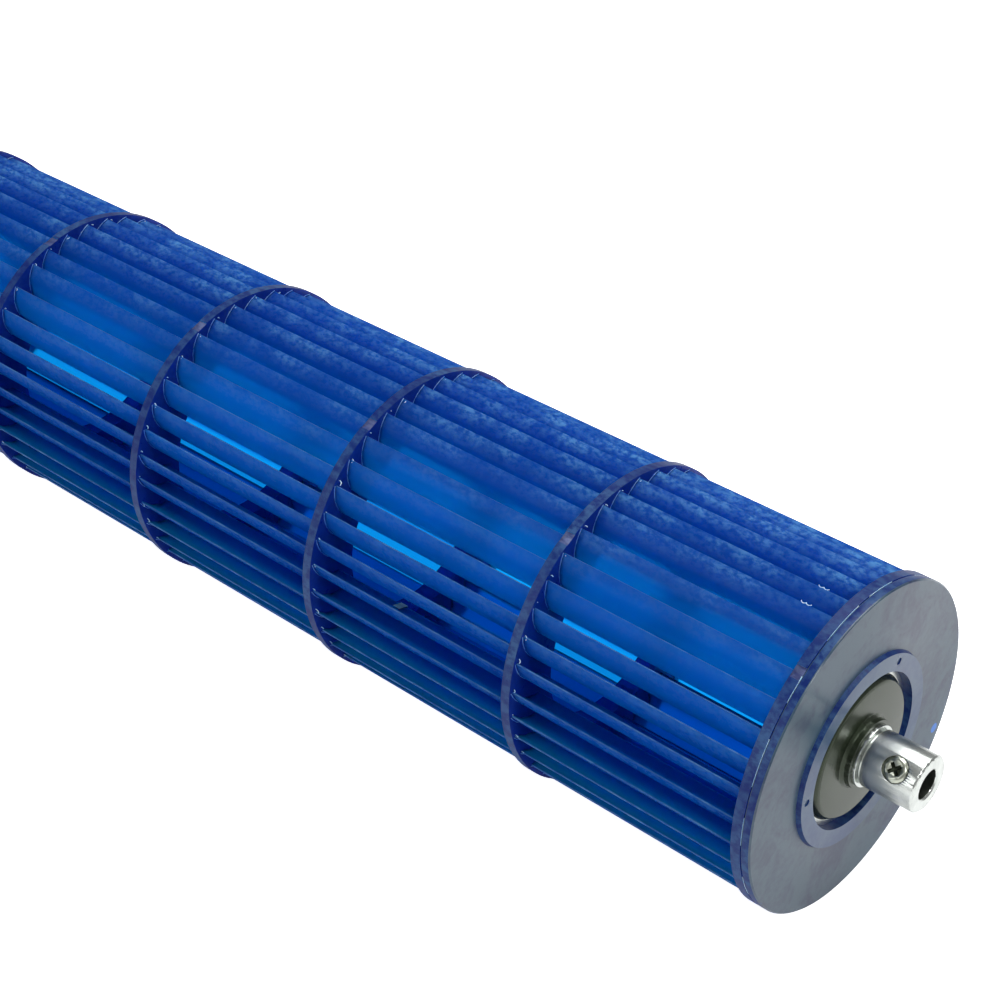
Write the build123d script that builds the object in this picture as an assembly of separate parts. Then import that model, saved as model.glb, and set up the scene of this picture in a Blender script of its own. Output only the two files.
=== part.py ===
"""Cross flow fan rotor of a split air conditioner's indoor unit.

The drum is a row of moulded blade sections welded end to end. Each section is a thin ring
with a wreath of forward-curved blades on its far side. The motor end is closed by a disc that
holds a rubber damper with an aluminium clamp hub, the other end by a disc with a steel stub.

Frame: the axis is X and +X points out of the motor hub's bore. The origin is on the axis at
the mouth of that bore. Z is up. Millimetres.
"""
import os
from math import asin, atan2, cos, degrees, pi, radians, sin, sqrt

from build123d import *

# ---------------------------------------------------------------- driving dimensions
drum_diameter = 92.0        # over the rings
section_count = 7           # moulded blade sections in the drum
blade_length = 70.0         # free length of the blades of one section
ring_thickness = 2.8        # flange ring that each section starts with
ring_bore = 59.2            # open middle of the rings
ring_collar_wall = 1.4      # stiffening collar round that opening, behind the ring
ring_collar_reach = 3.8
ring_edge_chamfer = 0.4     # broken edges of every rim

blade_gaps = (              # degrees from tip to tip, uneven so that the fan doesn't whistle
    8.6, 11.3, 10.1, 10.3, 9.9, 10.0, 9.8, 10.9, 10.1, 9.8,
    9.4, 10.6, 9.8, 9.5, 10.5, 9.7, 10.2, 9.2, 10.4, 9.6, 9.9, 10.4, 10.3,
    9.4, 10.6, 9.8, 9.5, 10.5, 9.7, 10.2, 9.2, 10.4, 9.6, 9.9, 10.4, 10.3)
blade_inner_radius = 34.2   # inner edge of the blades
blade_tip_setback = 1.2     # the tips stay this far inside the rims
blade_tip_angle = 25.0      # degrees between the tip and the rim's tangent
blade_root_thickness = 0.9  # at the inner edge
blade_mid_thickness = 1.4
blade_tip_thickness = 0.5
blade_panels = 3            # flats that each side of a blade is made of
blade_phase = 3.8           # degrees from Z to a tip of the first wreath, against the clock
section_turn = 5.0          # degrees from one section's wreath to the next one's

gate_width = 3.6            # flat where the gate was trimmed off every section's rim
gate_depth = 0.3
gate_angle = 34.1           # degrees from Z to the first section's gate, against the clock
gate_turn = -4.6            # degrees from one section's gate to the next one's

clip_station = 144.0        # balance clip: from the hub's mouth to its middle
clip_section = 1            # count of sections in front of the one it sits in
clip_angle = 84.0           # degrees from Z, against the clock
clip_length = 2.4
clip_grip = 0.65            # share of the blade's first flat under its cheeks
clip_thickness = 0.3

disc_thickness = 2.8        # plate of both end discs
boss_diameter = 54.4        # raised boss round the damper
boss_height = 1.3
damper_pocket_diameter = 43.6
pocket_wall = 2.4           # collar behind the disc that holds the damper
pocket_depth = 9.0          # from the disc's face to the collar's lip
pocket_lip = 3.0            # inward lip that the damper rests on
pocket_lip_thickness = 1.6
dimple_diameter = 2.0       # ejector dimples on the boss
dimple_depth = 0.4
dimple_count = 3
dimple_angle = 29.0         # degrees from Z to the first one, with the clock

fit_clearance = 0.05        # pressed and bonded pieces
damper_ring_wall = 1.6      # aluminium ring round the rubber
damper_ring_recess = 1.2    # from the disc's face down to the ring
rubber_proud = 1.0          # the rubber's face stands this far above the disc's face
rubber_edge_chamfer = 0.7
rubber_top_inset = 1.0      # the proud rubber is smaller than the ring's bore by this
neck_diameter = 19.0        # rubber collar round the hub
neck_height = 2.2
neck_flare = 0.8            # sloping foot of the collar

hub_reach = 20.0            # from the disc's face to the hub's mouth
hub_diameter = 15.6
hub_bore = 8.0
hub_chamfer = 0.6
bore_chamfer = 0.5
hub_flange_diameter = 17.0
hub_flange_width = 1.1
hub_groove_diameter = 13.6
hub_groove_width = 0.8
hub_stem_diameter = 13.0    # turned down where the rubber grips it
hub_foot_diameter = 24.0    # foot that anchors the hub in the rubber
hub_foot_thickness = 2.0

screw_head_diameter = 6.6
screw_head_height = 2.0
screw_thread_diameter = 4.0
screw_from_face = 13.5      # from the disc's face to the screw's axis
screw_angle = 48.5          # degrees from Z, against the clock
screw_seat_clearance = 0.15 # round the head in its spot face
screw_seat_radius = 6.2     # from the axis to the spot face
screw_recess_width = 1.0    # arms of the cross recess
screw_recess_length = 3.6
screw_recess_depth = 1.1
screw_tip_clearance = 0.2   # backed off out of the shaft's bore

stub_diameter = 6.0         # steel shaft for the bearing
stub_reach = 22.0           # from the far boss
stub_chamfer = 0.5
stub_grip_diameter = 7.2    # grooved shank inside the boss
stub_embedded = 14.0
stub_relief_width = 1.0     # grinding relief beside the boss
stub_relief_depth = 0.3
far_boss_diameter = 18.0
far_boss_height = 4.0       # outside the far disc
far_boss_depth = 12.0       # inside the drum
far_boss_fillet = 1.5
far_recess_diameter = 70.0  # shallow dish of the far disc
far_recess_depth = 0.9

# ---------------------------------------------------------------- places along the axis
ring_radius = drum_diameter / 2
blade_tip_radius = ring_radius - blade_tip_setback
section_pitch = ring_thickness + blade_length
face_x = -hub_reach
drum_start = face_x - disc_thickness
drum_end = drum_start - section_count * section_pitch
far_face_x = drum_end - disc_thickness
pocket_radius = damper_pocket_diameter / 2
damper_ring_radius = pocket_radius - fit_clearance
rubber_radius = damper_ring_radius - damper_ring_wall
pocket_floor = face_x - pocket_depth + pocket_lip_thickness
hub_inner_end = pocket_floor
rubber_back = pocket_floor + hub_foot_thickness / 2


def across(x):
    """Plane square to the axis at x, seen from the motor end: Y to the right, Z up."""
    return Plane(origin=(x, 0, 0), x_dir=(0, 1, 0), z_dir=(1, 0, 0))


def clock(angle):
    """Polar angle in the across plane of a place that is angle degrees left of Z."""
    return 90.0 + angle


def turned(*profile):
    """Solid of revolution round the axis from straight (x, radius) corners."""
    with BuildPart() as body:
        with BuildSketch(Plane.XY):
            with BuildLine():
                Polyline(*profile, close=True)
            make_face()
        revolve(axis=Axis.X)
    return body.part


def camber_arc():
    """Radius and sweep (radians) of the blade's camber line.

    The line leaves the inner edge radially and crosses the tip circle at blade_tip_angle.
    """
    inner, outer = blade_inner_radius, blade_tip_radius
    rise = outer ** 2 - inner ** 2
    radius = rise / (2 * outer * cos(radians(blade_tip_angle)))
    across_term = 2 * inner * radius
    along_term = 2 * radius ** 2
    reach = (rise - along_term) / sqrt(across_term ** 2 + along_term ** 2)
    return radius, asin(reach) + atan2(along_term, across_term)


def blade_side(radius, sweep, side):
    """Points of one side of the blade section, from the inner edge to the tip."""
    points = []
    for step in range(blade_panels + 1):
        share = step / blade_panels
        edge = blade_root_thickness + share * (blade_tip_thickness - blade_root_thickness)
        belly = (blade_mid_thickness - edge) * sin(share * pi)
        reach = radius + side * (edge + belly) / 2
        turn = share * sweep
        points.append((blade_inner_radius + reach * sin(turn), reach * cos(turn) - radius))
    return points


def blade_section():
    """Forward-curved section, inner edge on the local X axis, tip with the clock."""
    radius, sweep = camber_arc()
    with BuildSketch() as section:
        with BuildLine():
            Polyline(*blade_side(radius, sweep, 1), *reversed(blade_side(radius, sweep, -1)), close=True)
        make_face()
    return section.sketch


def tip_lag():
    """Degrees by which the tip stands with the clock from the inner edge."""
    radius, sweep = camber_arc()
    return degrees(atan2(radius * (1 - cos(sweep)), blade_inner_radius + radius * sin(sweep)))


def root_angles(index):
    """Polar angles of the inner edges of the blades of one drum section."""
    first = clock(blade_phase + tip_lag() + section_turn * index)
    scale = 360.0 / sum(blade_gaps)
    return [first + scale * sum(blade_gaps[:blade]) for blade in range(len(blade_gaps))]


def blade_wreath(index):
    """Section outlines of all the blades of one drum section."""
    with BuildSketch() as wreath:
        with Locations(*[Location((0, 0, 0), (0, 0, angle)) for angle in root_angles(index)]):
            add(blade_section())
    return wreath.sketch


def drum_section(index):
    """One moulding: flange ring with its collar and trimmed gate, and its wreath of blades."""
    front = drum_start - index * section_pitch
    back = front - ring_thickness
    gate = clock(gate_angle + gate_turn * index)
    with BuildPart() as section:
        with BuildSketch(across(back)):
            Circle(ring_radius)
            Circle(ring_bore / 2, mode=Mode.SUBTRACT)
            with PolarLocations(ring_radius, 1, start_angle=gate):
                Rectangle(2 * gate_depth, gate_width, mode=Mode.SUBTRACT)
        extrude(amount=ring_thickness)
        with BuildSketch(across(back)):
            Circle(ring_bore / 2 + ring_collar_wall)
            Circle(ring_bore / 2, mode=Mode.SUBTRACT)
        extrude(amount=-ring_collar_reach)
        with BuildSketch(across(back)):
            add(blade_wreath(index))
        extrude(amount=-blade_length)
    return section.part


def balance_clip():
    """Spring steel clip pinched over the inner edge of one blade."""
    sides = [blade_side(*camber_arc(), side)[:2] for side in (1, -1)]
    flat = make_face(Polyline(*sides[0], *reversed(sides[1]), close=True))
    strip = (offset(flat, fit_clearance + clip_thickness, kind=Kind.INTERSECTION)
             - offset(flat, fit_clearance, kind=Kind.INTERSECTION))
    (start, _), (bend, _) = sides[0]
    reach = clip_grip * (bend - start)
    profile = strip & Pos(blade_inner_radius, 0) * Rectangle(2 * reach, 2 * reach)
    root = min(root_angles(clip_section), key=lambda angle: abs(angle - clock(clip_angle)))
    place = across(-clip_station - clip_length / 2).location * Rot(0, 0, root)
    return place * extrude(profile, clip_length)


def motor_end_disc():
    """Disc with the raised boss, the damper's pocket and the collar behind it."""
    lip_radius = pocket_radius - pocket_lip
    collar_radius = pocket_radius + pocket_wall
    lip_back = face_x - pocket_depth
    boss_radius = boss_diameter / 2
    boss_top = face_x + boss_height
    disc = turned(
        (face_x, ring_radius - ring_edge_chamfer), (face_x, boss_radius), (boss_top, boss_radius - boss_height / 3),
        (boss_top, pocket_radius), (pocket_floor, pocket_radius), (pocket_floor, lip_radius),
        (lip_back, lip_radius), (lip_back, collar_radius), (drum_start, collar_radius),
        (drum_start, ring_radius - ring_edge_chamfer), (drum_start + ring_edge_chamfer, ring_radius),
        (face_x - ring_edge_chamfer, ring_radius))
    dimple_radius = (pocket_radius + boss_radius) / 2
    with BuildPart() as body:
        add(disc)
        with BuildSketch(across(boss_top)):
            with PolarLocations(dimple_radius, dimple_count, start_angle=clock(-dimple_angle)):
                Circle(dimple_diameter / 2)
        extrude(amount=-dimple_depth, mode=Mode.SUBTRACT)
    return body.part


def damper_outer_ring():
    """Aluminium ring pressed into the pocket, bonded round the rubber."""
    top = face_x - damper_ring_recess
    return turned((top, damper_ring_radius), (top, rubber_radius),
                  (pocket_floor, rubber_radius), (pocket_floor, damper_ring_radius))


def damper_rubber():
    """Rubber disc between ring and hub, proud of the disc, with a collar round the hub."""
    top = face_x + rubber_proud
    shoulder = face_x - damper_ring_recess
    top_radius = rubber_radius - rubber_top_inset
    outer = rubber_radius - fit_clearance
    neck_radius = neck_diameter / 2
    neck_top = top + neck_height
    stem_radius = hub_stem_diameter / 2 + fit_clearance
    foot_radius = hub_foot_diameter / 2 + fit_clearance
    foot_top = hub_inner_end + hub_foot_thickness + fit_clearance
    return turned(
        (neck_top, stem_radius), (neck_top, neck_radius), (top + neck_flare, neck_radius),
        (top, neck_radius + neck_flare), (top, top_radius - rubber_edge_chamfer),
        (top - rubber_edge_chamfer, top_radius), (shoulder, outer), (rubber_back, outer),
        (rubber_back, foot_radius), (foot_top, foot_radius), (foot_top, stem_radius))


def screw_plane(radius):
    """Plane on the clamp screw's axis at a radius, facing outwards."""
    angle = radians(screw_angle)
    outward = Vector(0, -sin(angle), cos(angle))
    place = outward * radius + Vector(face_x + screw_from_face, 0, 0)
    return Plane(origin=place, x_dir=(1, 0, 0), z_dir=outward)


def motor_hub():
    """Turned aluminium hub: foot, stem, flange, groove, body, and the screw's spot face."""
    flange_back = face_x + rubber_proud + neck_height
    flange_front = flange_back + hub_flange_width
    groove_front = flange_front + hub_groove_width
    bore_radius = hub_bore / 2
    hub = turned(
        (0, bore_radius + bore_chamfer), (0, hub_diameter / 2 - hub_chamfer), (-hub_chamfer, hub_diameter / 2),
        (groove_front, hub_diameter / 2), (groove_front, hub_groove_diameter / 2),
        (flange_front, hub_groove_diameter / 2), (flange_front, hub_flange_diameter / 2),
        (flange_back, hub_flange_diameter / 2), (flange_back, hub_stem_diameter / 2),
        (hub_inner_end + hub_foot_thickness, hub_stem_diameter / 2),
        (hub_inner_end + hub_foot_thickness, hub_foot_diameter / 2), (hub_inner_end, hub_foot_diameter / 2),
        (hub_inner_end, bore_radius), (-bore_chamfer, bore_radius))
    with BuildPart() as body:
        add(hub)
        with BuildSketch(screw_plane(screw_seat_radius)):
            Circle(screw_head_diameter / 2 + screw_seat_clearance)
        extrude(amount=hub_diameter / 2, mode=Mode.SUBTRACT)
        with BuildSketch(screw_plane(screw_seat_radius)):
            Circle(screw_thread_diameter / 2 + fit_clearance)
        extrude(amount=-screw_seat_radius, mode=Mode.SUBTRACT)
    return body.part


def clamp_screw():
    """Pan head cross recess screw that bears on the motor shaft's flat."""
    shank = screw_seat_radius - hub_bore / 2 - screw_tip_clearance
    with BuildPart() as screw:
        with BuildSketch():
            Circle(screw_thread_diameter / 2)
        extrude(amount=-shank)
        with BuildSketch():
            Circle(screw_head_diameter / 2)
        extrude(amount=screw_head_height)
        chamfer(screw.edges().group_by(Axis.Z)[-1], screw_head_height / 3)
        with BuildSketch(Plane.XY.offset(screw_head_height)):
            Rectangle(screw_recess_length, screw_recess_width, rotation=45)
            Rectangle(screw_recess_width, screw_recess_length, rotation=45)
        extrude(amount=-screw_recess_depth, mode=Mode.SUBTRACT)
    return screw_plane(screw_seat_radius).location * screw.part


def far_end_disc():
    """Dished disc with the boss that carries the steel stub."""
    boss = far_boss_diameter / 2
    boss_front = drum_end + far_boss_depth
    boss_back = far_face_x - far_boss_height
    grip_radius = stub_grip_diameter / 2 + fit_clearance
    dish = far_face_x + far_recess_depth
    dish_radius = far_recess_diameter / 2
    socket_floor = boss_back + stub_embedded + fit_clearance
    return turned(
        (boss_front, 0), (boss_front, boss), (drum_end + far_boss_fillet, boss), (drum_end, boss + far_boss_fillet),
        (drum_end, ring_radius), (far_face_x + ring_edge_chamfer, ring_radius),
        (far_face_x, ring_radius - ring_edge_chamfer), (far_face_x, dish_radius), (dish, dish_radius), (dish, boss),
        (boss_back, boss), (boss_back, grip_radius), (socket_floor, grip_radius), (socket_floor, 0))


def shaft_stub():
    """Steel stub that runs in the far bearing."""
    boss_back = far_face_x - far_boss_height
    radius = stub_diameter / 2
    grip_radius = stub_grip_diameter / 2
    relief_radius = radius - stub_relief_depth
    relief_end = boss_back - stub_relief_width
    inner = boss_back + stub_embedded
    outer = boss_back - stub_reach
    return turned((inner, 0), (inner, grip_radius), (boss_back, grip_radius), (boss_back, relief_radius),
                  (relief_end, relief_radius), (relief_end, radius), (outer + stub_chamfer, radius),
                  (outer, radius - stub_chamfer), (outer, 0))


def build():
    """Write every piece to its own STEP file."""
    os.makedirs("parts", exist_ok=True)
    pieces = {
        "motor_end_disc": motor_end_disc(),
        "damper_outer_ring": damper_outer_ring(),
        "damper_rubber": damper_rubber(),
        "motor_hub": motor_hub(),
        "clamp_screw": clamp_screw(),
        "far_end_disc": far_end_disc(),
        "shaft_stub": shaft_stub(),
        "balance_clip": balance_clip(),
    }
    for index in range(section_count):
        pieces[f"blade_section_{index + 1}"] = drum_section(index)
    for name, piece in pieces.items():
        export_step(piece, f"parts/{name}.step")


build()
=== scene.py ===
"""Dressed model of a cross flow fan rotor: translucent blue blade drum, rubber damper and aluminium hub."""
import logging
import math
import random
from dataclasses import dataclass, field, replace
from enum import Enum, IntEnum
from typing import Any, Callable, Optional

import bpy
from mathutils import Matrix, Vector


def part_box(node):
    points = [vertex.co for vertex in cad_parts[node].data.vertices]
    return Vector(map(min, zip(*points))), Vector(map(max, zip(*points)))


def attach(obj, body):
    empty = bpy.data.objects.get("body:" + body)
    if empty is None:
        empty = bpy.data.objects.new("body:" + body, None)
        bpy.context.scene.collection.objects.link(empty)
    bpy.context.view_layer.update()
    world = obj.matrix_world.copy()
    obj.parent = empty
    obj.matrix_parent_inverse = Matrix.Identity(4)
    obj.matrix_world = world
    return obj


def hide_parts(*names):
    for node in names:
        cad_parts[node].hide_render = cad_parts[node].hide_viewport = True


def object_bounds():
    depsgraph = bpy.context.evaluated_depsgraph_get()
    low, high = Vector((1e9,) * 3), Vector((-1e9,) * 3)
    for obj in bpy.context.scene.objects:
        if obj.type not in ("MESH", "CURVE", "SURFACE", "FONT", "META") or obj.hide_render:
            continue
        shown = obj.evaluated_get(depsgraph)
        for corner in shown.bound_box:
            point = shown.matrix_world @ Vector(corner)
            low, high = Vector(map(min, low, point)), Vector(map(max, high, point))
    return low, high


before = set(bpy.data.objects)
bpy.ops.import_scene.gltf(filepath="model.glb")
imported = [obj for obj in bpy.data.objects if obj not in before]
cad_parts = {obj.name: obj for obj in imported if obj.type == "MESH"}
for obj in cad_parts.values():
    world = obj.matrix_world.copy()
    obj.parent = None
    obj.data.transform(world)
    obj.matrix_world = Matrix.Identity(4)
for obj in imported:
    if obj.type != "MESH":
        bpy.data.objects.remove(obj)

LOG = logging.getLogger("cross_flow_fan")
MM = 0.001
CAD_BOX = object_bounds()
WHITE = "#FFFFFF"
SAN_IOR = 1.57                  # refractive index of the resin
ACROSS = (0.0, 1.0, 1.0)        # takes the share along the drum's axis out of a place
END_FACE = 0.7                  # faces whose normals follow the axis more closely than this are end faces
BAND_LENGTH = math.pi / 10      # wave length of a band pattern at scale one
WELD_REACH = 0.001 * MM         # corners of a solid's loose triangles that lie this near are one
SHARP_EDGE = 45.0               # degrees: edges that turn more than this are broken
BEVEL_STEPS = 2


class Body(Enum):
    """Rigid bodies of the rotor."""

    ROOT = "root"


class Skin(Enum):
    """How a copied solid's edges are finished, in mm of bevel."""

    SHARP = 0.0
    BROKEN = 0.12


class SectionZone(IntEnum):
    """Zones of a blade section, in the order of its materials."""

    FLANK = 0
    TIP = 1
    RING = 2
    RIM = 3
    GATE = 4


class DiscZone(IntEnum):
    """Zones of an end disc, in the order of its materials."""

    FACE = 0
    EDGE = 1
    BOSS = 2


# ------------------------------------------------------------------ helpers
def linear(code: str) -> tuple[float, float, float, float]:
    """Turn an sRGB hex colour to the linear colour that shaders take.

    Args:
        code: colour such as "#0B3FA0".

    Returns:
        Linear red, green, blue and an alpha of one.
    """
    values = [int(code[place:place + 2], 16) / 255 for place in (1, 3, 5)]
    parts = [value / 12.92 if value <= 0.04045 else ((value + 0.055) / 1.055) ** 2.4 for value in values]
    return (*parts, 1.0)


def add_node(tree: bpy.types.NodeTree, kind: str, settings: Optional[dict[str, Any]] = None,
             **inputs: Any) -> bpy.types.Node:
    """Add a shader node with its settings and links.

    Args:
        tree: node tree that gets the node.
        kind: the node's type name.
        settings: attributes of the node itself.
        inputs: socket values or output sockets, named by socket with underscores for spaces.

    Returns:
        The new node.
    """
    node = tree.nodes.new(kind)
    for name, value in (settings or {}).items():
        setattr(node, name, value)
    for name, value in inputs.items():
        socket = node.inputs[int(name[1:])] if name[0] == "_" else node.inputs[name.replace("_", " ")]
        if isinstance(value, bpy.types.NodeSocket):
            tree.links.new(value, socket)
        else:
            socket.default_value = value
    return node


def fresh_material(name: str) -> tuple[bpy.types.Material, bpy.types.NodeTree, bpy.types.Node]:
    """Start a material.

    Args:
        name: its name.

    Returns:
        The material, its node tree and its shader.
    """
    material = bpy.data.materials.new(name)
    material.use_nodes = True
    return material, material.node_tree, material.node_tree.nodes["Principled BSDF"]


def place_on(tree: bpy.types.NodeTree) -> bpy.types.NodeSocket:
    """Object coordinates, in metres.

    Args:
        tree: node tree that gets the node.

    Returns:
        The place's socket.
    """
    return add_node(tree, "ShaderNodeTexCoord").outputs["Object"]


def noise(tree: bpy.types.NodeTree, place: bpy.types.NodeSocket, spacing: float,
          **settings: float) -> bpy.types.NodeSocket:
    """Noise over a place.

    Args:
        tree: node tree that gets the noise.
        place: where it is looked up, in metres.
        spacing: mm between its grains.
        settings: values of its other sockets.

    Returns:
        The noise's socket, from zero to one.
    """
    node = add_node(tree, "ShaderNodeTexNoise", Vector=place, Scale=1 / (spacing * MM), **settings)
    return node.outputs["Fac"]


def maths(tree: bpy.types.NodeTree, operation: str, *values: Any) -> bpy.types.NodeSocket:
    """Work a value out of others.

    Args:
        tree: node tree that gets the node.
        operation: the node's operation.
        values: numbers or sockets, in the operation's order.

    Returns:
        The result's socket.
    """
    inputs = {f"_{place}": value for place, value in enumerate(values)}
    return add_node(tree, "ShaderNodeMath", {"operation": operation}, **inputs).outputs[0]


def vector_maths(tree: bpy.types.NodeTree, operation: str, output: str, *values: Any) -> bpy.types.NodeSocket:
    """Work a vector or a value out of vectors.

    Args:
        tree: node tree that gets the node.
        operation: the node's operation.
        output: the socket that is wanted, "Vector" or "Value".
        values: vectors or sockets, in the operation's order.

    Returns:
        The result's socket.
    """
    inputs = {f"_{place}": value for place, value in enumerate(values)}
    return add_node(tree, "ShaderNodeVectorMath", {"operation": operation}, **inputs).outputs[output]


def span(tree: bpy.types.NodeTree, value: bpy.types.NodeSocket, source: tuple[float, float] = (0.0, 1.0),
         target: tuple[float, float] = (0.0, 1.0), smooth: bool = False) -> bpy.types.NodeSocket:
    """Map a value from one stretch onto another, held at both ends.

    Args:
        tree: node tree that gets the node.
        value: the value to map.
        source: the stretch that it comes from.
        target: the stretch that it goes to.
        smooth: whether it eases in and out.

    Returns:
        The mapped value's socket.
    """
    settings = {"interpolation_type": "SMOOTHSTEP"} if smooth else None
    return add_node(tree, "ShaderNodeMapRange", settings, Value=value, From_Min=source[0], From_Max=source[1],
                    To_Min=target[0], To_Max=target[1]).outputs[0]


def blend(tree: bpy.types.NodeTree, factor: bpy.types.NodeSocket, first: Any,
          second: Any) -> bpy.types.NodeSocket:
    """Mix two values.

    Args:
        tree: node tree that gets the node.
        factor: share of the second one.
        first: number or socket.
        second: number or socket.

    Returns:
        The mixture's socket.
    """
    return add_node(tree, "ShaderNodeMix", _0=factor, _2=first, _3=second).outputs[0]


def blend_colours(tree: bpy.types.NodeTree, factor: bpy.types.NodeSocket, first: Any,
                  second: Any) -> bpy.types.NodeSocket:
    """Mix two colours.

    Args:
        tree: node tree that gets the node.
        factor: share of the second one.
        first: colour or socket.
        second: colour or socket.

    Returns:
        The mixture's socket.
    """
    return add_node(tree, "ShaderNodeMix", {"data_type": "RGBA"}, _0=factor, _6=first, _7=second).outputs[2]


def roughen(tree: bpy.types.NodeTree, shader: bpy.types.Node, height: bpy.types.NodeSocket, strength: float,
            depth: float) -> None:
    """Raise a pattern on a shader's surface.

    Args:
        tree: node tree of the shader.
        shader: the shader.
        height: the pattern.
        strength: how strongly it shows.
        depth: mm from its lows to its highs.
    """
    bump = add_node(tree, "ShaderNodeBump", Height=height, Strength=strength, Distance=depth * MM)
    tree.links.new(bump.outputs[0], shader.inputs["Normal"])


def ramp(tree: bpy.types.NodeTree, factor: bpy.types.NodeSocket,
         stops: list[tuple[float, str]]) -> bpy.types.NodeSocket:
    """Colour ramp over a factor.

    Args:
        tree: node tree that gets the ramp.
        factor: value that is looked up.
        stops: positions and sRGB hex colours, at least two.

    Returns:
        The colour output.
    """
    node = add_node(tree, "ShaderNodeValToRGB", Fac=factor)
    elements = node.color_ramp.elements
    while len(elements) < len(stops):
        elements.new(0.5)
    for element, (place, colour) in zip(elements, stops):
        element.position = place
        element.color = linear(colour)
    return node.outputs["Color"]


def select_only(piece: bpy.types.Object) -> None:
    """Deselect everything but one piece, and make it active.

    Args:
        piece: the piece that stays selected.
    """
    if bpy.context.mode != "OBJECT":
        bpy.ops.object.mode_set(mode="OBJECT")
    bpy.ops.object.select_all(action="DESELECT")
    piece.select_set(True)
    bpy.context.view_layer.objects.active = piece


def duplicate(piece: bpy.types.Object, name: str) -> bpy.types.Object:
    """Copy a piece with its own mesh and give the copy a name.

    Args:
        piece: the piece to copy.
        name: name of the copy and of its mesh.

    Returns:
        The copy.
    """
    twin = piece.copy()
    twin.data = piece.data.copy()
    twin.name = name
    twin.data.name = name
    bpy.context.scene.collection.objects.link(twin)
    return twin


def fuse(pieces: list[bpy.types.Object], name: str) -> bpy.types.Object:
    """Join pieces into one and name it.

    Args:
        pieces: the pieces, which are used up.
        name: name of the result.

    Returns:
        The joined piece.
    """
    select_only(pieces[0])
    for piece in pieces:
        piece.select_set(True)
    bpy.ops.object.join()
    whole = bpy.context.view_layer.objects.active
    whole.name = name
    whole.data.name = name
    return whole


def settle(piece: bpy.types.Object) -> None:
    """Apply a piece's place so that its object sits at the origin.

    Args:
        piece: the piece to settle.
    """
    select_only(piece)
    bpy.ops.object.transform_apply(location=True, rotation=True, scale=True)


def paint(piece: bpy.types.Object, chooser: Callable[[Vector, Vector], int]) -> None:
    """Give each face the material slot that a rule names.

    Args:
        piece: mesh whose slots are already filled.
        chooser: takes a face's centre and normal and returns a slot's place.
    """
    for face in piece.data.polygons:
        face.material_index = int(chooser(face.center, face.normal))


def dressed_copy(node: str, finishes: list[bpy.types.Material], skin: Skin = Skin.SHARP,
                 smooth_below: float = 30.0) -> bpy.types.Object:
    """Copy a solid, merge its loose triangles, break its edges and smooth its curves.

    Args:
        node: name of the solid.
        finishes: materials of the copy, the first one everywhere.
        skin: how the edges are finished.
        smooth_below: faces that meet at less than this angle, in degrees, are shaded as one curve.

    Returns:
        The copy, which stands for the solid.
    """
    twin = duplicate(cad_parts[node], node + "_dressed")
    twin.parent = None
    twin.data.materials.clear()
    for finish in finishes:
        twin.data.materials.append(finish)
    select_only(twin)
    bpy.ops.object.mode_set(mode="EDIT")
    bpy.ops.mesh.select_all(action="SELECT")
    bpy.ops.mesh.remove_doubles(threshold=WELD_REACH)
    bpy.ops.object.mode_set(mode="OBJECT")
    if skin is not Skin.SHARP:
        bevel = twin.modifiers.new("edges", "BEVEL")
        bevel.width = skin.value * MM
        bevel.segments = BEVEL_STEPS
        bevel.limit_method = "ANGLE"
        bevel.angle_limit = math.radians(SHARP_EDGE)
        bpy.ops.object.modifier_apply(modifier=bevel.name)
    bpy.ops.object.shade_smooth_by_angle(angle=math.radians(smooth_below))
    flats = twin.modifiers.new("flat_faces", "WEIGHTED_NORMAL")
    flats.keep_sharp = True
    bpy.ops.object.modifier_apply(modifier=flats.name)
    return twin


def bent_wire(name: str, reach: float, thickness: float, start: float, sweep: float, steps: int = 6,
              sides: int = 5) -> bpy.types.Object:
    """Round wire bent to an arc about the X axis, closed at both ends.

    Args:
        name: name of the piece.
        reach: radius of the arc.
        thickness: radius of the wire.
        start: angle from Z towards Y where the arc begins, in radians.
        sweep: angle that it turns through.
        steps: segments along the arc.
        sides: segments round the wire.

    Returns:
        The wire.
    """
    bpy.ops.object.select_all(action="DESELECT")
    bpy.ops.mesh.primitive_circle_add(vertices=sides, radius=thickness,
                                      rotation=(math.radians(90) - start, 0, 0),
                                      location=(0, reach * math.sin(start), reach * math.cos(start)))
    piece = bpy.context.active_object
    piece.name = name
    settle(piece)
    bpy.ops.object.mode_set(mode="EDIT")
    bpy.ops.mesh.select_all(action="SELECT")
    bpy.ops.mesh.spin(steps=steps, angle=sweep, center=(0, 0, 0), axis=(1, 0, 0))
    bpy.ops.mesh.select_all(action="DESELECT")
    bpy.ops.mesh.select_non_manifold()
    bpy.ops.mesh.fill_holes(sides=0)
    bpy.ops.mesh.select_all(action="SELECT")
    bpy.ops.mesh.normals_make_consistent(inside=False)
    bpy.ops.object.mode_set(mode="OBJECT")
    bpy.ops.object.shade_smooth()
    return piece


def adopt(piece: bpy.types.Object, slot: str, *nodes: str) -> bpy.types.Object:
    """Let a piece ride on the rotor, and hide the solids that it stands for.

    Args:
        piece: the finished piece.
        slot: not used.
        nodes: solids that the piece stands for.

    Returns:
        The same piece.
    """
    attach(piece, Body.ROOT.value)
    if nodes:
        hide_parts(*nodes)
    LOG.info("%s: %d faces", piece.name, len(piece.data.polygons))
    return piece


def axial_radius(tree: bpy.types.NodeTree, place: bpy.types.NodeSocket) -> bpy.types.NodeSocket:
    """Distance from the drum's axis.

    Args:
        tree: node tree that gets the nodes.
        place: object coordinates.

    Returns:
        The distance's socket, in metres.
    """
    flat = vector_maths(tree, "MULTIPLY", "Vector", place, ACROSS)
    return vector_maths(tree, "LENGTH", "Value", flat)


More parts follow.
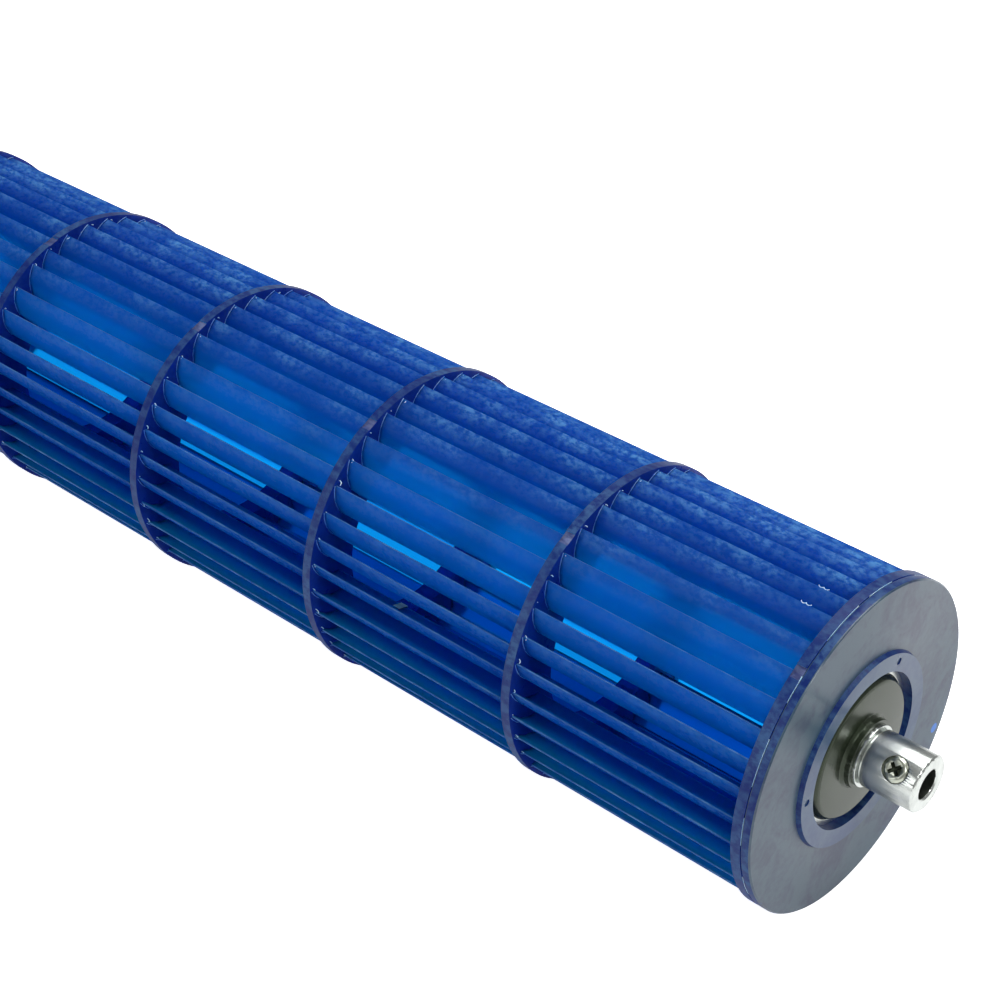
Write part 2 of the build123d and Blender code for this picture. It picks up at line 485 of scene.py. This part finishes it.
def seen_rays(tree: bpy.types.NodeTree) -> bpy.types.NodeSocket:
    """One for what is looked at, straight or through the resin, and zero for what lights the rotor.

    Args:
        tree: node tree that gets the nodes.

    Returns:
        The value's socket.
    """
    path = add_node(tree, "ShaderNodeLightPath").outputs
    return maths(tree, "MAXIMUM", path["Is Camera Ray"], path["Is Transmission Ray"])


# ------------------------------------------------------------------ finishes
@dataclass(frozen=True)
class Resin:
    """SAN resin, injection moulded and dyed: a clear blue filter whose outer skin is scuffed matt."""

    name: str
    deep: str
    frosted: str
    dye: str                        # what one wall of the resin lets through
    clarity: float                  # share of light that goes on through the outer skin
    roughness: float
    haze: float = 0.75              # share of that light which leaves in every direction
    inner_clarity: float = 0.86     # the same two of the smooth inner skin
    inner_haze: float = 0.14
    blur: float = 0.3               # roughness of what is seen through the resin
    frost_from: float = 0.0         # mm from the axis where the scuffed skin begins
    frost_full: float = 0.001       # mm from the axis where it is at its whitest
    frost_amount: float = 1.0
    frost_grain: float = 1.3        # mm between scuffs
    streak: float = 3.2             # mm that a scuff runs along the axis
    bump_height: float = 0.03       # mm
    gloss: float = 0.3              # specular level
    shaded_side_frost: float = 1.0          # share of the frost on sides that face down, where no dust settles
    sky_lit_slope: tuple[float, float] = (0.3, 0.95)   # share of the frost kept on sides that face down; sides that face up are painted whiter, a painted highlight of the light from above
    cloud_grains: float = 10.0      # scuffs crowd in clouds this many grains wide
    patch_edge: tuple[float, float] = (0.4, 0.6)    # noise between which scuffs and clouds come and go
    thin_scuff: float = 0.2         # share of the frost between scuffs
    thin_cloud: float = 0.45        # share of the frost between clouds
    scuff_roughness: float = 0.25   # what full frost adds to the roughness
    scuff_clarity: float = 0.6      # share of the clarity that full frost leaves
    thin_wall_ior: float = 1.25     # a thin wall hardly shifts what is seen through it
    skin_change: tuple[float, float] = (-0.1, 0.1)  # outward facing between which inner skin turns to outer

    def frost(self, tree: bpy.types.NodeTree, place: bpy.types.NodeSocket, scuffs: bpy.types.NodeSocket,
              normal: bpy.types.NodeSocket) -> bpy.types.NodeSocket:
        """How white the skin is scuffed: in clouds, near the rim, and most where dust settles.

        Args:
            tree: node tree that gets the nodes.
            place: object coordinates.
            scuffs: the pattern of single scuffs.
            normal: the face's normal.

        Returns:
            How white the skin is scuffed: in clouds and near the rim, and painted whiter on sides that face
                up, as a painted highlight of the light from above.
        """
        cloud = noise(tree, place, self.frost_grain * self.cloud_grains, Detail=2.0)
        patchy = maths(tree, "MULTIPLY", span(tree, scuffs, self.patch_edge, (self.thin_scuff, 1.0)),
                       span(tree, cloud, self.patch_edge, (self.thin_cloud, 1.0)))
        skin = span(tree, axial_radius(tree, place), (self.frost_from * MM, self.frost_full * MM),
                    (0.0, self.frost_amount))
        # painted highlight: the frost grows on sides that face up, where the light from above falls
        up = add_node(tree, "ShaderNodeSeparateXYZ", Vector=normal).outputs["Z"]
        sky_lit_frost = maths(tree, "MULTIPLY", skin, span(tree, up, self.sky_lit_slope, (self.shaded_side_frost, 1.0)))
        return maths(tree, "MULTIPLY", patchy, sky_lit_frost)

    def build(self) -> bpy.types.Material:
        """Make the material: dye that tints what is behind it, dulled by scuffs that scatter light.

        Returns:
            The material.
        """
        material, tree, shader = fresh_material(self.name)
        place = place_on(tree)
        stretched = add_node(tree, "ShaderNodeMapping", Vector=place,
                             Scale=(self.frost_grain / self.streak, 1.0, 1.0)).outputs[0]
        scuffs = noise(tree, stretched, self.frost_grain, Detail=4.0, Roughness=0.65)
        shape = add_node(tree, "ShaderNodeNewGeometry").outputs
        frost = self.frost(tree, place, scuffs, shape["True Normal"])
        colour = ramp(tree, frost, [(0.0, self.deep), (1.0, self.frosted)])
        tree.links.new(colour, shader.inputs["Base Color"])
        rough = span(tree, frost, target=(self.roughness, self.roughness + self.scuff_roughness))
        tree.links.new(rough, shader.inputs["Roughness"])
        roughen(tree, shader, scuffs, 0.3, self.bump_height)
        shader.inputs["IOR"].default_value = SAN_IOR
        shader.inputs["Specular IOR Level"].default_value = self.gloss
        # Light goes through in two ways, straight and hazed, and is dyed once as it enters a wall.
        inside = shape["Backfacing"]
        flat = vector_maths(tree, "MULTIPLY", "Vector", place, ACROSS)
        radial = vector_maths(tree, "NORMALIZE", "Vector", flat)
        facing = vector_maths(tree, "DOT_PRODUCT", "Value", radial, shape["True Normal"])
        outer = span(tree, facing, self.skin_change)
        tint = blend_colours(tree, inside, linear(self.dye), linear(WHITE))
        straight = add_node(tree, "ShaderNodeBsdfRefraction", Color=tint, Roughness=self.blur,
                            IOR=self.thin_wall_ior).outputs[0]
        hazed = add_node(tree, "ShaderNodeBsdfTranslucent", Color=tint).outputs[0]
        haze = span(tree, outer, target=(self.inner_haze, self.haze))
        through = add_node(tree, "ShaderNodeMixShader", _0=haze, _1=straight, _2=hazed).outputs[0]
        scuffed = span(tree, frost, target=(self.clarity, self.clarity * self.scuff_clarity))
        share = maths(tree, "MAXIMUM", blend(tree, outer, self.inner_clarity, scuffed), inside)
        both = add_node(tree, "ShaderNodeMixShader", _0=share, _1=shader.outputs[0], _2=through)
        tree.links.new(both.outputs[0], tree.nodes["Material Output"].inputs["Surface"])
        return material


MACHINED_SAN = Resin("machined_san_rims", deep="#041A62", frosted="#3A5E8A", dye="#0A3090", clarity=0.15,
                     roughness=0.3, inner_clarity=0.1, gloss=0.15, frost_amount=0.8, frost_grain=2.2)


@dataclass(frozen=True)
class FrostedFace:
    """SAN resin from a sanded mould: a pale grey bloom over the blue, with swirls and small pits."""

    name: str = "sanded_resin_face"
    bloom: str = "#365062"
    thin_bloom: str = "#1C2E50"
    roughness: float = 0.3
    sweep: float = 0.85             # how far circular rubbing marks draw a highlight out along the radius
    transmission: float = 0.12
    cloud: float = 14.0             # mm between clouds of the bloom
    fleck: float = 1.8              # mm between flecks
    bare: tuple[float, float, float] = (-20.0 * MM, 38.6 * MM, -18.0 * MM)  # where the bloom is knocked off
    bare_radius: float = 1.3 * MM
    bare_edge: float = 0.2          # share of that radius over which the bloom fades out
    under: str = "#0070D4"          # the resin under the bloom
    fleck_share: float = 0.35       # weight of the flecks against the clouds
    bloom_edge: tuple[float, float] = (0.5, 0.76)   # clouds and flecks between which the bloom thickens
    pit_depth: float = 0.04         # mm

    def build(self) -> bpy.types.Material:
        """Make the material: clouds and swirls in two greys, pits as bump.

        Returns:
            The material.
        """
        material, tree, shader = fresh_material(self.name)
        place = place_on(tree)
        clouds = noise(tree, place, self.cloud, Detail=5.0, Roughness=0.6, Distortion=1.2)
        flecks = noise(tree, place, self.fleck, Detail=3.0)
        mixed = maths(tree, "MULTIPLY_ADD", flecks, self.fleck_share, clouds)
        colour = ramp(tree, mixed, [(self.bloom_edge[0], self.thin_bloom), (self.bloom_edge[1], self.bloom)])
        off = vector_maths(tree, "DISTANCE", "Value", place, self.bare)
        spot = span(tree, off, (self.bare_radius, self.bare_radius * (1 + self.bare_edge)), (1.0, 0.0))
        tree.links.new(blend_colours(tree, spot, colour, linear(self.under)), shader.inputs["Base Color"])
        roughen(tree, shader, flecks, 0.25, self.pit_depth)
        tree.links.new(vector_maths(tree, "MULTIPLY", "Vector", place, ACROSS), shader.inputs["Tangent"])
        shader.inputs["Anisotropic"].default_value = self.sweep
        shader.inputs["Roughness"].default_value = self.roughness
        shader.inputs["IOR"].default_value = SAN_IOR
        shader.inputs["Transmission Weight"].default_value = self.transmission
        return material


@dataclass(frozen=True)
class TurnedMetal:
    """Metal turned on a lathe: fine feed marks run round it and stretch its highlights."""

    name: str
    colour: str
    shade: str
    roughness: float
    feed: float = 0.4948            # mm between feed marks
    mark_depth: float = 0.0003      # mm
    mark_roughness: float = 0.02    # how far the marks swing the roughness
    mottle: float = 3.0             # mm between the stains of age

    def build(self) -> bpy.types.Material:
        """Make the material: bands along the axis drive roughness and bump, stains of age the tone.

        Returns:
            The material.
        """
        material, tree, shader = fresh_material(self.name)
        place = place_on(tree)
        marks = add_node(tree, "ShaderNodeTexWave", {"bands_direction": "X"}, Vector=place,
                         Scale=BAND_LENGTH / (self.feed * MM), Distortion=1.5, Detail=2.0).outputs["Fac"]
        stains = noise(tree, place, self.mottle, Detail=4.0)
        tone = ramp(tree, stains, [(0.3, self.shade), (0.7, self.colour)])
        tree.links.new(tone, shader.inputs["Base Color"])
        rough = span(tree, marks, target=(self.roughness - self.mark_roughness,
                                          self.roughness + self.mark_roughness))
        tree.links.new(rough, shader.inputs["Roughness"])
        roughen(tree, shader, marks, 0.3, self.mark_depth)
        shader.inputs["Metallic"].default_value = 1.0
        return material


@dataclass(frozen=True)
class DamperRubber:
    """Moulded EPDM rubber with a waxy bloom: olive black, soft sheen, dust in the skin."""

    name: str = "moulded_damper_rubber"
    body: str = "#181D15"
    bloom: str = "#262E21"
    sheen: str = "#E2F4DA"          # tint of its highlights
    roughness: float = 0.26
    patch: float = 6.0              # mm between patches of bloom
    dust: float = 0.5               # mm between specks of dust
    dust_height: float = 0.02       # mm

    def build(self) -> bpy.types.Material:
        """Make the material: patches of bloom over a dark body.

        Returns:
            The material.
        """
        material, tree, shader = fresh_material(self.name)
        place = place_on(tree)
        patches = noise(tree, place, self.patch, Detail=5.0, Roughness=0.6)
        tone = ramp(tree, patches, [(0.3, self.body), (0.7, self.bloom)])
        tree.links.new(tone, shader.inputs["Base Color"])
        roughen(tree, shader, noise(tree, place, self.dust, Detail=2.0), 0.15, self.dust_height)
        shader.inputs["Roughness"].default_value = self.roughness
        shader.inputs["Specular Tint"].default_value = linear(self.sheen)
        shader.inputs["IOR"].default_value = 1.52
        return material


@dataclass(frozen=True)
class LightTable:
    """Opal light table: it glows almost to white and keeps a faint shadow of the rotor."""

    name: str = "light_table"
    tone: str = WHITE
    glow: float = 0.85              # strength as the eye sees it
    lift: float = 0.1               # strength as it lights the rotor from below
    shade: float = 0.1              # share of the glow that is left right under the rotor
    shade_from: float = -10.0       # mm behind the axis where that shade begins to lift
    shade_to: float = 30.0

    def build(self) -> bpy.types.Material:
        """Make the material: matt white, lit from below.

        Returns:
            The material.
        """
        material, tree, shader = fresh_material(self.name)
        shader.inputs["Base Color"].default_value = linear(self.tone)
        shader.inputs["Roughness"].default_value = 0.9
        shader.inputs["Emission Color"].default_value = linear(self.tone)
        behind = add_node(tree, "ShaderNodeSeparateXYZ", Vector=place_on(tree)).outputs["Y"]
        shaded = span(tree, behind, (self.shade_from * MM, self.shade_to * MM),
                      (self.shade * self.glow, self.glow), smooth=True)
        straight = add_node(tree, "ShaderNodeLightPath").outputs["Is Camera Ray"]
        seen = blend(tree, straight, shaded, self.glow)
        tree.links.new(blend(tree, seen_rays(tree), self.lift, seen), shader.inputs["Emission Strength"])
        return material


# ------------------------------------------------------------------ rotor
@dataclass
class BladeDrum:
    """The moulded sections, welded end to end."""

    sections: list[str] = field(default_factory=lambda: sorted(
        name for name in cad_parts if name.startswith("blade_section_")))
    # the blades' frost is painted whiter on sides that face up: a painted highlight of the light from above
    flank: Resin = Resin("dyed_san_blades", deep="#0432A8", frosted="#5894CE", dye="#0892DE", clarity=0.64,
                         roughness=0.25, haze=0.45, gloss=0.07, frost_from=42.4, frost_full=44.4,
                         frost_grain=1.2, streak=1.8, shaded_side_frost=0.4)
    # tip faces lighter than the flanks: a painted highlight along each tip edge, over some real scuffing
    tip: Resin = Resin("san_tips_with_painted_highlight", deep="#1E54AA", frosted="#5C94CC", dye="#0C9CFA", clarity=0.35,
                       roughness=0.3)
    ring: Resin = Resin("dyed_san_rings", deep="#041C78", frosted="#143284", dye="#0A3CA8", clarity=0.35,
                        roughness=0.25, inner_clarity=0.35)
    rim: Resin = MACHINED_SAN
    gate: Resin = Resin("trimmed_san_gates", deep="#1C2460", frosted="#68749C", dye="#5C80C0", clarity=0.2,
                        roughness=0.5)
    gate_band: float = 0.15 * MM    # a gate's flat lies at least this far inside the rim
    rim_band: float = 0.5 * MM      # and at most this far
    tip_band: float = 1.35 * MM     # a blade's tip face lies this far inside the rim
    ring_reach: float = 6.7 * MM    # ring and collar, from the section's front face
    bore_edge: float = 31.5 * MM    # outer skin of the collar
    outward: float = 0.35           # a normal's outward share from which a face is a rim, gate or tip
    ring_face: float = 0.5          # a normal's share along the axis from which a face is the ring's side

    def zone_of(self, centre: Vector, normal: Vector, front: float, radius: float) -> SectionZone:
        """Zone of a face of a section.

        Args:
            centre: the face's centre.
            normal: the face's normal.
            front: station of the section's front face.
            radius: radius of the section's ring.

        Returns:
            The face's zone.
        """
        reach = math.hypot(centre.y, centre.z)
        outward = (centre.y * normal.y + centre.z * normal.z) / max(reach, MM) > self.outward
        if reach > radius - self.rim_band and outward:
            return SectionZone.GATE if reach < radius - self.gate_band else SectionZone.RIM
        if centre.x > front - self.ring_reach and (abs(normal.x) > self.ring_face or reach < self.bore_edge):
            return SectionZone.RING
        return SectionZone.TIP if outward and reach > radius - self.tip_band else SectionZone.FLANK

    def build(self) -> None:
        """Dress every section."""
        finishes = [finish.build() for finish in (self.flank, self.tip, self.ring, self.rim, self.gate)]
        for name in self.sections:
            low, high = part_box(name)
            front, radius = high[0], (high[1] - low[1]) / 2
            twin = dressed_copy(name, finishes)
            paint(twin, lambda centre, normal, front=front, radius=radius:
                  self.zone_of(centre, normal, front, radius))
            adopt(twin, name, name)


@dataclass
class WeldBeads:
    """Beads of molten resin where the blades' free ends are welded to the next ring."""

    gaps: tuple[float, ...] = (8.6, 11.3, 10.1, 10.3, 9.9, 10.0, 9.8, 10.9, 10.1, 9.8) + 2 * (
        9.4, 10.6, 9.8, 9.5, 10.5, 9.7, 10.2, 9.2, 10.4, 9.6, 9.9, 10.4, 10.3)     # from tip to tip, in ratio
    blade_inner: float = 34.2 * MM
    blade_tip: float = 44.8 * MM
    tip_angle: float = 25.0         # degrees
    phase: float = 3.8              # degrees from Z to a tip of the first section
    turn: float = 5.0               # degrees from one section to the next
    half_blade: float = 0.58 * MM   # from the camber line to the bead
    bead: float = 0.14 * MM         # radius
    covered: float = 0.72           # share of the blade that the bead follows, from the tip
    # its frost is painted whiter on sides that face up: a painted highlight of the light from above
    finish: Resin = Resin("weld_bead_resin", deep="#2C74DC", frosted="#B4E4FF", dye="#8CD2FF", clarity=0.4,
                          roughness=0.15, shaded_side_frost=0.4)

    def tips(self, section: int) -> list[float]:
        """Where the blades' tips stand.

        Args:
            section: count of sections in front of theirs.

        Returns:
            Their angles, in degrees from Z against the clock.
        """
        scale = 360 / sum(self.gaps)
        first = self.phase + self.turn * section
        return [first + scale * sum(self.gaps[:blade]) for blade in range(len(self.gaps))]

    def camber(self) -> tuple[float, float, float]:
        """Camber line of a blade.

        Returns:
            Its radius, its sweep in radians, and the radians by which the tip lags the inner edge.
        """
        rise = self.blade_tip ** 2 - self.blade_inner ** 2
        radius = rise / (2 * self.blade_tip * math.cos(math.radians(self.tip_angle)))
        across, along = 2 * self.blade_inner * radius, 2 * radius ** 2
        sweep = math.asin((rise - along) / math.hypot(across, along)) + math.atan2(along, across)
        lag = math.atan2(radius * (1 - math.cos(sweep)), self.blade_inner + radius * math.sin(sweep))
        return radius, sweep, lag

    def ring_of_beads(self, name: str, station: float, section: int) -> bpy.types.Object:
        """Make the beads at one ring.

        Args:
            name: name of the piece.
            station: where the blades end on the axis.
            section: count of sections in front of theirs.

        Returns:
            The beads as one mesh.
        """
        radius, sweep, lag = self.camber()
        reach = radius + self.half_blade
        start = sweep * (1 - self.covered)
        piece = bent_wire(name, reach, self.bead, start, sweep - start)
        piece.location = (station, self.blade_inner, -radius)
        settle(piece)
        beads = [duplicate(piece, name) for _ in self.gaps]
        for tip, bead in zip(self.tips(section), beads):
            bead.rotation_euler.x = math.radians(90 + tip) + lag
            settle(bead)
        bpy.data.objects.remove(piece)
        return fuse(beads, name)

    def build(self) -> None:
        """Weld the free ends of every section's blades."""
        finish = self.finish.build()
        for section, name in enumerate(BladeDrum().sections):
            piece = self.ring_of_beads(f"weld_beads_{section + 1}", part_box(name)[0][0], section)
            piece.data.materials.append(finish)
            adopt(piece, name)


@dataclass
class WeldFlashGlints:
    """Curls of squeezed out resin at the welds, painted near white as glints, a painted highlight line round
    the groove by the disc, and two chipped blade tips.
    """

    welds: WeldBeads = field(default_factory=WeldBeads)
    stand_off: float = 0.3 * MM     # from the weld to its curls
    curl_radius: float = 44.75 * MM
    sizes: tuple[float, float] = (0.35 * MM, 0.8 * MM)
    curl_sweep: float = 140.0       # degrees that a curl bends through
    wander: float = 1.2             # degrees from a blade's tip to its curl
    chips: tuple[tuple[float, float], ...] = ((-33.5 * MM, 2.9), (-33.8 * MM, 11.6))    # station, degrees
    chip_radius: float = 44.95 * MM
    chip_size: float = 0.8 * MM
    chip_spread: float = 0.9        # half the distance between a chip's two scallops, in their radii
    # a line of near white beads round the groove: a painted highlight between the disc and the first ring
    groove_station: float = -22.8 * MM      # between the disc and the first ring
    groove_radius: float = 45.78 * MM
    groove_highlight_beads: int = 15
    groove_cover: tuple[float, float] = (0.2, 0.7)      # share of its room that a bead fills
    groove_wander: float = 0.2      # share of its room by which a bead starts late
    wire: float = 0.12 * MM
    seed: int = 11
    # near white: painted glints on the curls, a painted highlight on the groove line, stress whitened resin
    # on the chips
    finish: Resin = Resin("stressed_resin_and_glints", deep="#98D8FF", frosted="#E0F6FF", dye="#C8F0FF",
                          clarity=0.2, roughness=0.15)

    def curl(self, place: tuple[float, float, float], size: float, turn: float = -90.0) -> bpy.types.Object:
        """Make one curl that lies flat on the drum.

        Args:
            place: station on the axis, distance from it, and degrees from Z against the clock.
            size: radius of its bend.
            turn: degrees that it is turned on the spot.

        Returns:
            The curl.
        """
        station, radius, angle = place
        piece = bent_wire("curl", size, self.wire, math.radians(-self.curl_sweep / 2),
                          math.radians(self.curl_sweep))
        piece.rotation_euler = (0, math.radians(90), math.radians(turn))
        piece.location = (station, 0, radius)
        settle(piece)
        piece.rotation_euler.x = math.radians(angle)
        settle(piece)
        return piece

    def keep(self, pieces: list[bpy.types.Object], name: str, slot: str, finish: bpy.types.Material) -> None:
        """Join curls, paint them and let them ride on the rotor.

        Args:
            pieces: the curls.
            name: name of the result.
            slot: passed on to adopt, which does not use it.
            finish: their material.
        """
        piece = fuse(pieces, name)
        piece.data.materials.append(finish)
        adopt(piece, slot)

    def build(self) -> None:
        """Scatter curls along the welds, lay bright beads round the groove by the disc as a painted highlight
        line, and chip two tips.
        """
        dice = random.Random(self.seed)
        finish = self.finish.build()
        sections = BladeDrum().sections
        for section, ring in enumerate(sections):
            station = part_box(ring)[0][0] + self.stand_off
            # curls at the blades' ends, painted near white: painted glints
            curls = [self.curl((station, self.curl_radius, tip + dice.uniform(-self.wander, self.wander)),
                               dice.uniform(*self.sizes), dice.uniform(0, 180))
                     for tip in self.welds.tips(section)]
            self.keep(curls, "glinting_flash_" + ring, ring, finish)
        scallops = [self.curl((station + side * self.chip_size * self.chip_spread, self.chip_radius, angle),
                              self.chip_size) for station, angle in self.chips for side in (-1, 1)]
        self.keep(scallops, "tip_chips", sections[0], finish)
        pitch = 2 * math.pi / self.groove_highlight_beads
        # painted highlight: bright beads round the groove by the disc
        beads = [bent_wire("bead", self.groove_radius, self.wire,
                           pitch * (place + dice.uniform(0, self.groove_wander)),
                           pitch * dice.uniform(*self.groove_cover)) for place in range(self.groove_highlight_beads)]
        line = fuse(beads, "groove_highlight_beads")
        line.location.x = self.groove_station
        settle(line)
        self.keep([line], "groove_highlight_beads", sections[0], finish)


@dataclass
class MotorEnd:
    """Motor end disc, damper, hub and clamp screw."""

    face: FrostedFace = FrostedFace()
    boss: FrostedFace = FrostedFace("polished_boss_face", bloom="#3C5674", thin_bloom="#22406C")
    edge: Resin = replace(MACHINED_SAN, name="dyed_san_disc_edge")
    boss_step: float = 0.5 * MM     # faces within this of the disc's front are the boss
    rubber: DamperRubber = DamperRubber()
    alloy: TurnedMetal = TurnedMetal("turned_aluminium", "#D8DCD8", "#C4C9C5", 0.25)
    # darker than the hub: painted shade inside the bore, on a rougher reamed skin
    bore: TurnedMetal = TurnedMetal("reamed_aluminium_bore_painted_shade", "#6A706A", "#4A4F49", 0.45)
    bore_reach: float = 4.3 * MM    # the bore's skin lies this near the axis
    bore_wall: float = 0.5          # and its normals have less than this share along the axis
    zinc: TurnedMetal = TurnedMetal("zinc_plated_steel", "#C6CBBE", "#A4A99A", 0.3, mottle=9.0)
    # near black: painted shade in the cross recess of the screw head
    recess_shade: TurnedMetal = TurnedMetal("screw_recess_painted_shade", "#3C4238", "#23271F", 0.5)
    screw_station: float = -6.5 * MM
    screw_angle: float = 48.5       # degrees from Z, against the clock
    screw_top: float = 8.15 * MM    # just under the head's top
    recess_reach: float = 2.0 * MM

    def disc_zone_of(self, centre: Vector, normal: Vector, front: float) -> DiscZone:
        """Zone of a face of the disc.

        Args:
            centre: the face's centre.
            normal: the face's normal.
            front: station of the disc's front.

        Returns:
            The face's zone.
        """
        if abs(normal.x) < END_FACE:
            return DiscZone.EDGE
        return DiscZone.BOSS if centre.x > front - self.boss_step else DiscZone.FACE

    def recess_of(self, centre: Vector, normal: Vector) -> int:
        """Slot of a face of the screw: plated head, or the recess in it, which is painted dark as shade.

        Args:
            centre: the face's centre.
            normal: the face's normal.

        Returns:
            One in the recess, else zero.
        """
        angle = math.radians(self.screw_angle)
        outward = Vector((0.0, -math.sin(angle), math.cos(angle)))
        height = centre.dot(outward)
        aside = (centre - Vector((self.screw_station, 0.0, 0.0)) - outward * height).length
        return int(height < self.screw_top and aside < self.recess_reach)

    def build(self) -> None:
        """Dress the disc and the pieces in its middle."""
        finishes = [finish.build() for finish in (self.face, self.edge, self.boss)]
        disc = dressed_copy("motor_end_disc", finishes, Skin.BROKEN)
        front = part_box("motor_end_disc")[1][0]
        paint(disc, lambda centre, normal: self.disc_zone_of(centre, normal, front))
        adopt(disc, "motor_end_disc", "motor_end_disc")
        alloy = self.alloy.build()
        for name, finish in (("damper_outer_ring", alloy), ("damper_rubber", self.rubber.build())):
            adopt(dressed_copy(name, [finish], Skin.BROKEN), name, name)
        # the bore's faces get the darker finish: painted shade in the hole
        hub = dressed_copy("motor_hub", [alloy, self.bore.build()], Skin.BROKEN)
        paint(hub, lambda centre, normal: int(math.hypot(centre.y, centre.z) < self.bore_reach and
                                              abs(normal.x) < self.bore_wall))
        adopt(hub, "motor_hub", "motor_hub")
        screw = dressed_copy("clamp_screw", [self.zinc.build(), self.recess_shade.build()])
        paint(screw, self.recess_of)
        adopt(screw, "clamp_screw", "clamp_screw")


@dataclass
class BalanceClip:
    """Spring clip on one blade that balances the drum."""

    steel: TurnedMetal = TurnedMetal("zinc_plated_spring_strip", "#B4BAB8", "#8C928E", 0.35)

    def build(self) -> None:
        """Dress the clip."""
        adopt(dressed_copy("balance_clip", [self.steel.build()]), "balance_clip", "balance_clip")


@dataclass
class FarEnd:
    """Far end disc and the bearing's stub."""

    face: FrostedFace = FrostedFace(name="sanded_resin_far_face")
    edge: Resin = replace(MACHINED_SAN, name="dyed_san_far_edge")
    steel: TurnedMetal = TurnedMetal("ground_steel", "#B9BCBE", "#8E9294", 0.22)

    def build(self) -> None:
        """Dress the disc and the stub."""
        disc = dressed_copy("far_end_disc", [self.face.build(), self.edge.build()], Skin.BROKEN)
        paint(disc, lambda centre, normal: DiscZone.EDGE if abs(normal.x) < END_FACE else DiscZone.FACE)
        adopt(disc, "far_end_disc", "far_end_disc")
        adopt(dressed_copy("shaft_stub", [self.steel.build()], Skin.BROKEN), "shaft_stub", "shaft_stub")


# ------------------------------------------------------------------ studio
@dataclass(frozen=True)
class Softbox:
    """Square lamp that faces the drum."""

    name: str
    place: tuple[float, float, float]   # where it hangs, in metres
    size: float                     # side, in metres
    power: float                    # watts

    def hang(self, aim: tuple[float, float, float]) -> None:
        """Hang the lamp.

        Args:
            aim: the place that it faces.
        """
        light = bpy.data.lights.new(self.name, "AREA")
        light.size = self.size
        light.energy = self.power
        lamp = bpy.data.objects.new(self.name, light)
        lamp.location = self.place
        lamp.rotation_euler = (Vector(aim) - Vector(self.place)).to_track_quat("-Z", "Y").to_euler()
        bpy.context.scene.collection.objects.link(lamp)


@dataclass
class Studio:
    """Floor, light and camera."""

    target: tuple[float, float, float] = (-0.1486, 0.0102, 0.0111)
    distance: float = 0.5849
    azimuth: float = 41.65          # degrees
    elevation: float = 34.5         # degrees
    lens: float = 74.5              # mm
    floor_size: float = 30.0
    sky_lift: float = 0.3           # strength of the room as it lights the rotor
    table: LightTable = LightTable()
    lamps: tuple[Softbox, ...] = (Softbox("overhead_softbox", (-0.1, 0.5, 1.1), 0.9, 13.0),
                                  Softbox("front_softbox", (0.85, -0.3, 0.95), 0.35, 6.0),
                                  Softbox("side_softbox", (-0.5, -1.0, 0.45), 0.8, 4.0))
    aim: tuple[float, float, float] = (-0.15, 0.0, 0.0)     # what the lamps face
    near_clip: float = 0.01         # metres from the camera

    def floor(self) -> None:
        """Lay the light table under the drum."""
        bpy.ops.object.select_all(action="DESELECT")
        bpy.ops.mesh.primitive_plane_add(size=self.floor_size, location=(0, 0, CAD_BOX[0][2]))
        floor = bpy.context.active_object
        floor.name = "backdrop_floor"
        floor.data.materials.append(self.table.build())

    def sky(self) -> None:
        """White room: plain white where it is seen, dimmer where it lights the drum."""
        world = bpy.data.worlds.new("white_room")
        world.use_nodes = True
        tree = world.node_tree
        tree.nodes.clear()
        strength = span(tree, seen_rays(tree), target=(self.sky_lift, 1.0))
        glow = add_node(tree, "ShaderNodeBackground", Color=linear(WHITE), Strength=strength)
        add_node(tree, "ShaderNodeOutputWorld", Surface=glow.outputs[0])
        bpy.context.scene.world = world

    def camera(self) -> None:
        """Set the camera on its arm round the target."""
        turn, lift = math.radians(self.azimuth), math.radians(self.elevation)
        arm = Vector((math.sin(turn) * math.cos(lift), -math.cos(turn) * math.cos(lift), math.sin(lift)))
        data = bpy.data.cameras.new("camera")
        data.lens = self.lens
        data.clip_start = self.near_clip
        eye = bpy.data.objects.new("camera", data)
        eye.location = Vector(self.target) + arm * self.distance
        eye.rotation_euler = (-arm).to_track_quat("-Z", "Y").to_euler()
        bpy.context.scene.collection.objects.link(eye)
        bpy.context.scene.camera = eye

    def build(self) -> None:
        """Set up floor, sky, lamps and camera."""
        self.floor()
        self.sky()
        for lamp in self.lamps:
            lamp.hang(self.aim)
        self.camera()
        bpy.context.scene.view_settings.view_transform = "Standard"


def main() -> None:
    """Build the rotor and its studio."""
    logging.basicConfig(level=logging.INFO, format="%(name)s: %(message)s")
    for part in (BladeDrum(), WeldBeads(), WeldFlashGlints(), MotorEnd(), BalanceClip(), FarEnd(), Studio()):
        part.build()
        LOG.info("built %s", type(part).__name__)


if __name__ == "__main__":
    main()
